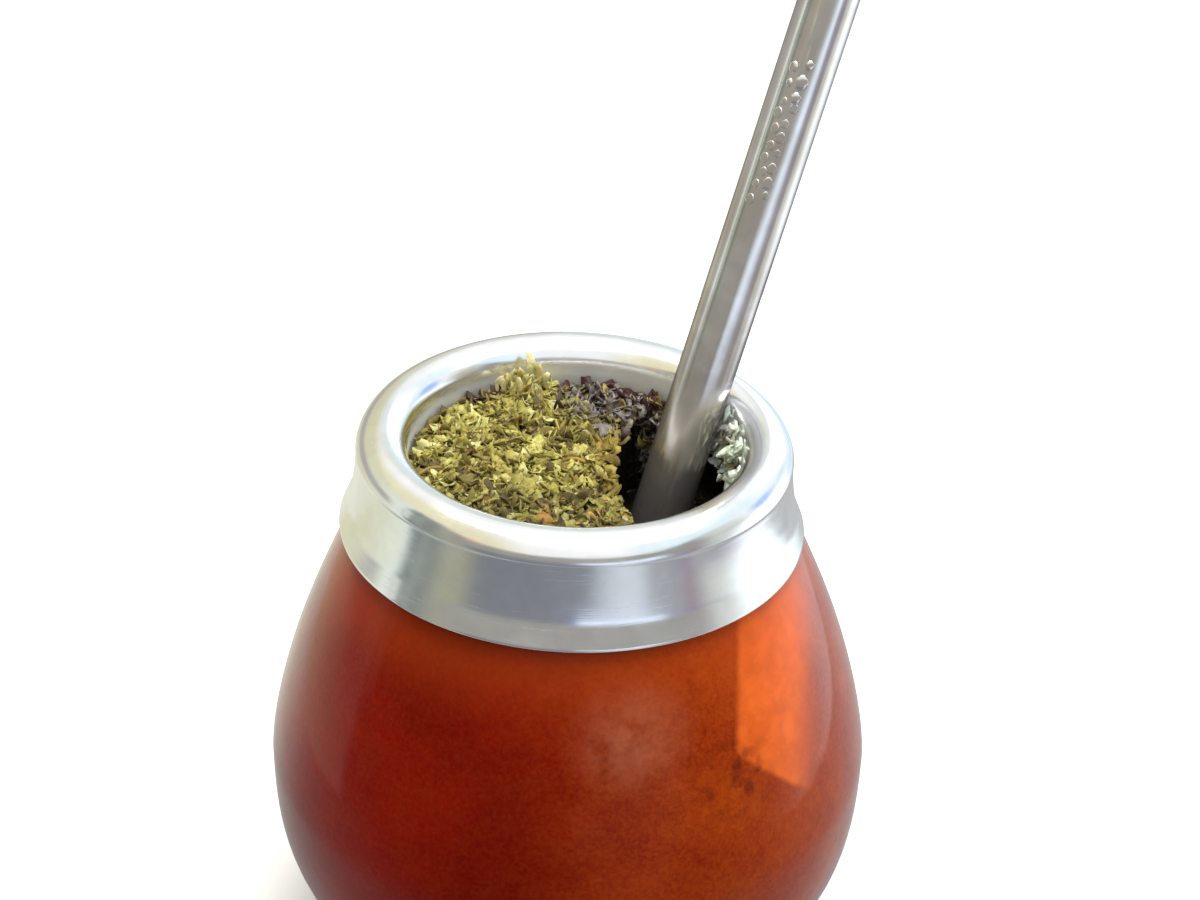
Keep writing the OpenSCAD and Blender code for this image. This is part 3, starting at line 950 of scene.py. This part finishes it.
def scatter(name, shapes, weigh, count, size, width, lift, spread, seed, material=dryMaterial, tint=None):
    rng = np.random.default_rng(seed)
    spots, normals = samplePlaces(weigh, count, rng)
    colours, damp = leafTones(spots, rng)
    if tint is not None:
        colours, damp = tint(spots, rng)
    picks = rng.integers(0, len(shapes), count)
    turns = layTurns(normals, spread, rng)
    big = rng.uniform(*size, count) * rng.uniform(0.8, 1.1, count)
    sizes = columns(big, big * rng.uniform(*width, count), big)
    spots = spots + normals * rng.uniform(*lift, count)[:, None]
    joinCopies(name, shapes, picks, turns, spots, sizes, colours, damp, material)


for name, layer in leafLayers.items():
    scatter(name, *layer)

# the tuft's first bits have places and sizes of their own, so that it has a clear tip
tuft = {
    "count": 34, "middle": (-7.4, 1.8), "back": (16.4, 20.0), "high": (81.6, 83.6), "size": (1.8, 3.0),
    "tips": [(-6.3, 19.6, 84.9), (-7.4, 18.6, 84.0), (-5.2, 19.0, 84.2)], "tipSizes": (4.2, 3.4, 3.0),
}

cling = {"count": 140, "turn": (16, 13), "turnTo": (-9, 42), "high": (76.2, 85.0), "size": (1.0, 2.7)}

afloat = {"count": 16, "x": (14.5, 19.0), "y": (-2.0, 12.0), "within": 19.0, "size": (0.5, 1.3)}


def buildPeak():
    # the tuft that stands up at the back of the heap
    rng = np.random.default_rng(31)
    count = tuft["count"]
    spots = columns(rng.normal(*tuft["middle"], count), rng.uniform(*tuft["back"], count),
                    rng.uniform(*tuft["high"], count))
    spots[:3] = tuft["tips"]
    size = rng.uniform(*tuft["size"], count)
    size[:3] = tuft["tipSizes"]
    sizes = columns(size, size * rng.uniform(0.45, 0.85, count), size)
    colours = anyOf(leafColours["peak"], count, rng)
    picks = rng.integers(0, len(flakeShapes), count)
    joinCopies("peakFlakes", flakeShapes, picks, standingTurns(count, 0.35, rng), spots, sizes, colours,
               np.zeros(count), dryMaterial)


def buildCling():
    # wet flakes that stick to the collar's wall behind the straw, coloured near white and bluish: pale
    # leaf with painted glare from the window
    rng = np.random.default_rng(32)
    count = cling["count"]
    shape = collarShape
    turn = np.radians(np.clip(rng.normal(*cling["turn"], count), *cling["turnTo"]))
    high = rng.uniform(*cling["high"], count) - shape["edgeLevel"]
    ring = columns(np.cos(turn), np.sin(turn)) * (shape["lipMid"] - shape["lipRound"] - 0.25)
    x, z = leaned(ring[:, 0], high, shape["lean"])
    spots = columns(x, ring[:, 1], z + shape["edgeLevel"])
    normals = columns(-np.cos(turn), -np.sin(turn), np.full(count, 0.9)) / 1.35
    size = rng.uniform(*cling["size"], count)
    sizes = columns(size, size * rng.uniform(0.5, 0.9, count), size)
    palette = np.array(leafColours["wall"])
    colours = palette[rng.choice(len(palette), count, p=leafColours["wallShare"])]
    picks = rng.integers(0, len(flakeShapes), count)
    joinCopies("clingFlakes", flakeShapes, picks, layTurns(normals, 18, rng), spots, sizes, colours,
               np.full(count, 0.8), dryMaterial)


def buildSpecks():
    # a few bits afloat on the drink
    rng = np.random.default_rng(33)
    count = afloat["count"]
    spots = columns(rng.uniform(*afloat["x"], count), rng.uniform(*afloat["y"], count),
                    np.full(count, drinkShape["level"] - 0.08))
    spots = spots[np.hypot(spots[:, 0], spots[:, 1]) < afloat["within"]]
    count = len(spots)
    size = rng.uniform(*afloat["size"], count)
    # pale tones taken from the clinging flakes' colours, dimmed, so they carry the same painted glare
    colours = anyOf(leafColours["wall"], count, rng) * 0.6
    picks = rng.integers(0, len(crumbShapes), count)
    flat = np.tile((0.0, 0.0, 1.0), (count, 1))
    joinCopies("floatingBits", crumbShapes, picks, layTurns(flat, 8, rng), spots,
               columns(size, size * 0.7, size * 0.5), colours, np.full(count, 0.9), dryMaterial)


buildPeak()
buildCling()
buildSpecks()
print("leaf done")


floorLook = {
    "reach": 0.15, "ahead": 0.06, "paper": (0.88, 0.885, 0.89), "patch": (0.9, 0.9, 0.9),
    # what reflections show of the floor, and of its far left corner
    "shaded": (0.24, 0.24, 0.25), "corner": (0.46, 0.46, 0.4),
}

roomLook = {
    "strength": 1.2, "above": (0.93, 0.93, 0.93), "cool": (0.8, 0.94, 1.0), "beige": (0.8, 0.75, 0.52),
    "skyNear": 0.29, "skyFar": 0.5, "skySoft": 0.08, "cabinet": (0.32, 0.31, 0.285),
    "passage": (0.4, 0.38, 0.38), "blind": (1.0, 1.15, 1.35), "blindEdge": (0.13, 0.15, 0.36),
    "cloth": (0.27, 0.24, 0.33),
    # soft patches of colour: direction, reach, colour
    "patches": [((0.92, 0.3, -0.2), 0.55, (1.25, 1.35, 1.4)),
                ((0.88, 0.36, 0.31), 0.22, (0.36, 0.54, 0.95)),
                ((-0.72, -0.58, 0.37), 0.1, (0.8, 0.38, 0.28))],
    # the room at eye level, by the angle from straight in front, left being negative
    "room": [(-180, (0.68, 0.72, 0.66)), (-165, (0.62, 0.59, 0.38)), (-120, (0.66, 0.66, 0.48)),
             (-98, (0.74, 0.78, 0.66)), (-92, (0.84, 0.9, 0.84)), (-88, (0.16, 0.2, 0.19)),
             (-84, (0.14, 0.18, 0.18)), (-80, (0.34, 0.36, 0.32)), (-76, (0.19, 0.22, 0.21)),
             (-71, (0.19, 0.22, 0.21)), (-66, (0.36, 0.36, 0.26)), (-54, (0.33, 0.33, 0.24)),
             (-47, (0.19, 0.2, 0.22)), (7, (0.21, 0.22, 0.25)), (14, (0.42, 0.45, 0.5)),
             (24, (0.6, 0.64, 0.7)), (34, (0.6, 0.64, 0.7)), (41, (0.35, 0.37, 0.39)),
             (55, (0.33, 0.33, 0.36)), (60, (0.31, 0.22, 0.24)), (64, (0.4, 0.39, 0.4)),
             (71, (0.6, 0.62, 0.58)), (90, (0.7, 0.73, 0.7)), (100, (0.98, 1.0, 1.0)),
             (165, (0.66, 0.84, 0.95)), (180, (0.68, 0.72, 0.66))],
}


def buildFloor():
    look = floorLook
    bm = bmesh.new()
    bmesh.ops.create_grid(bm, x_segments=8, y_segments=8, size=look["reach"])
    bmesh.ops.translate(bm, verts=bm.verts, vec=(0, look["ahead"], cadBox[0].z - 0.0001))
    mesh = meshOf("paleFloor", bm)
    floor = bpy.data.objects.new("paleFloor", mesh)
    scene.collection.objects.link(floor)
    net, spot = newMaterial("paleTable")
    paper = net.mix(net.cloud(spot, 9, 3), look["paper"], look["patch"])
    x, y = net.axes(spot)[:2]
    corner = net.times(net.span(x, -0.02, -0.08), net.span(y, 0.0, 0.08))
    unseen = net.mix(corner, look["shaded"], look["corner"])
    mesh.materials.append(net.finish(baseColor=net.mix(net.isSeen(), unseen, paper), roughness=0.6))


def buildWorld():
    # a pale ceiling; round the horizon a room with a dim near side and bright windows on the right
    look = roomLook
    world = bpy.data.worlds.new("studio")
    scene.world = world
    world.use_nodes = True
    net = Net(world.node_tree)
    ways = net.put("TexCoord").outputs["Generated"]
    x, y, z = net.axes(ways)
    # share of a full turn, 0.5 being straight in front
    share = net.scaled(net.calc("ARCTAN2", x, net.times(y, -1.0)), 1 / math.tau, 0.5)
    room = net.ramp(share, [(turn / 360 + 0.5, colour) for turn, colour in look["room"]])
    # a lit blind with a dark edge stands right of the middle, a shaded cloth lies below it
    tall = net.times(net.span(z, -0.25, -0.06), net.span(z, 0.27, 0.15))
    sides = net.tint(room, look["blindEdge"], net.span(share, 0.492, 0.498), tall)
    sides = net.tint(sides, look["blind"], net.span(share, 0.504, 0.512),
                     net.span(share, 0.64, 0.615), tall)
    sides = net.tint(sides, room, net.span(share, 0.615, 0.64), tall)
    sides = net.tint(sides, look["cloth"], net.span(share, 0.64, 0.67),
                     net.span(share, 0.82, 0.76), net.span(z, -0.41, -0.52))
    # a dim passage at eye level on the left, and a brownish cupboard before the near wall
    sides = net.tint(sides, look["passage"], net.span(z, -0.17, -0.09), net.span(z, 0.2, 0.1),
                     net.span(share, 0.235, 0.21))
    sides = net.tint(sides, look["cabinet"], net.span(y, -0.25, -0.6), net.span(z, -0.08, 0.03))
    # the ceiling starts lower on the near side; it is beige on the left and cool on the right
    over = net.calc("SUBTRACT", z, net.span(y, -0.75, -0.2, look["skyNear"], look["skyFar"]))
    ceiling = net.mix(net.span(x, -0.2, -0.6), look["above"], look["beige"])
    ceiling = net.mix(net.span(x, 0.25, 0.7), ceiling, look["cool"])
    shell = net.mix(net.span(over, 0.0, look["skySoft"]), sides, ceiling)
    for way, reach, colour in look["patches"]:
        shell = net.mix(net.span(net.gap(ways, way), reach, reach * 0.4), shell, colour)
    back = net.tree.nodes["Background"]
    net.fill(back.inputs["Color"], net.mix(net.isSeen(), shell, (1.0, 1.0, 1.0)))
    back.inputs["Strength"].default_value = look["strength"]


# each light's place and what it is aimed at, its size, power and colour, and if reflections show it
lightSet = {
    "overhead": ((0.08, 0.05, 0.75), "mouth", (0.6, 0.6), 6.0, (1.0, 0.99, 0.96), True),
    "windowRight": ((0.62, 0.02, 0.24), "belly", (0.55, 0.42), 1.0, (0.92, 0.97, 1.0), False),
    "paneLeft": ((-0.62, -0.05, 0.14), "belly", (0.035, 0.26), 0.022, (1.0, 0.95, 0.85), True),
    "backGlow": ((0.32, 0.62, 0.34), "mouth", (0.4, 0.3), 0.6, (0.93, 0.97, 1.0), True),
}


def buildLights():
    low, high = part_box("gourd")
    mid = (low + high) / 2
    aims = {"belly": mid, "mouth": Vector((mid.x, mid.y, high.z))}
    for name, (spot, aim, size, power, colour, mirrored) in lightSet.items():
        data = bpy.data.lights.new(name, "AREA")
        data.shape = "RECTANGLE"
        data.size, data.size_y = size
        data.energy = power
        data.color = colour
        lamp = bpy.data.objects.new(name, data)
        scene.collection.objects.link(lamp)
        lamp.location = spot
        lamp.rotation_euler = (aims[aim] - Vector(spot)).to_track_quat("-Z", "Y").to_euler()
        lamp.visible_camera = False
        lamp.visible_glossy = mirrored


# the camera looks at the collar's middle, shifted by aside and above; angles are in degrees
cameraView = {
    "lens": 71.37, "distance": 0.32355, "turn": 0.752, "fall": 30.84, "roll": 1.38,
    "aside": 0.00362, "above": 0.00373, "sensor": 36, "nearest": 0.01,
}


def buildCamera():
    view = cameraView
    low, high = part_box("collar")
    target = (low + high) / 2 + Vector((view["aside"], 0, view["above"]))
    turn = math.radians(view["turn"])
    fall = math.radians(view["fall"])
    ahead = Vector((math.sin(turn) * math.cos(fall), math.cos(turn) * math.cos(fall), -math.sin(fall)))
    level = ahead.cross(Vector((0, 0, 1))).normalized()
    roll = math.radians(view["roll"])
    right = level * math.cos(roll) + level.cross(ahead) * math.sin(roll)
    up = right.cross(ahead)
    data = bpy.data.cameras.new("tableView")
    data.lens = view["lens"]
    data.sensor_width = view["sensor"]
    data.clip_start = view["nearest"]
    camera = bpy.data.objects.new("tableView", data)
    scene.collection.objects.link(camera)
    pose = Matrix((right, up, -ahead)).transposed().to_4x4()
    camera.matrix_world = Matrix.Translation(target - ahead * view["distance"]) @ pose
    scene.camera = camera


buildFloor()
buildWorld()
buildLights()
buildCamera()
scene.view_settings.view_transform = "Standard"
print("stage done")
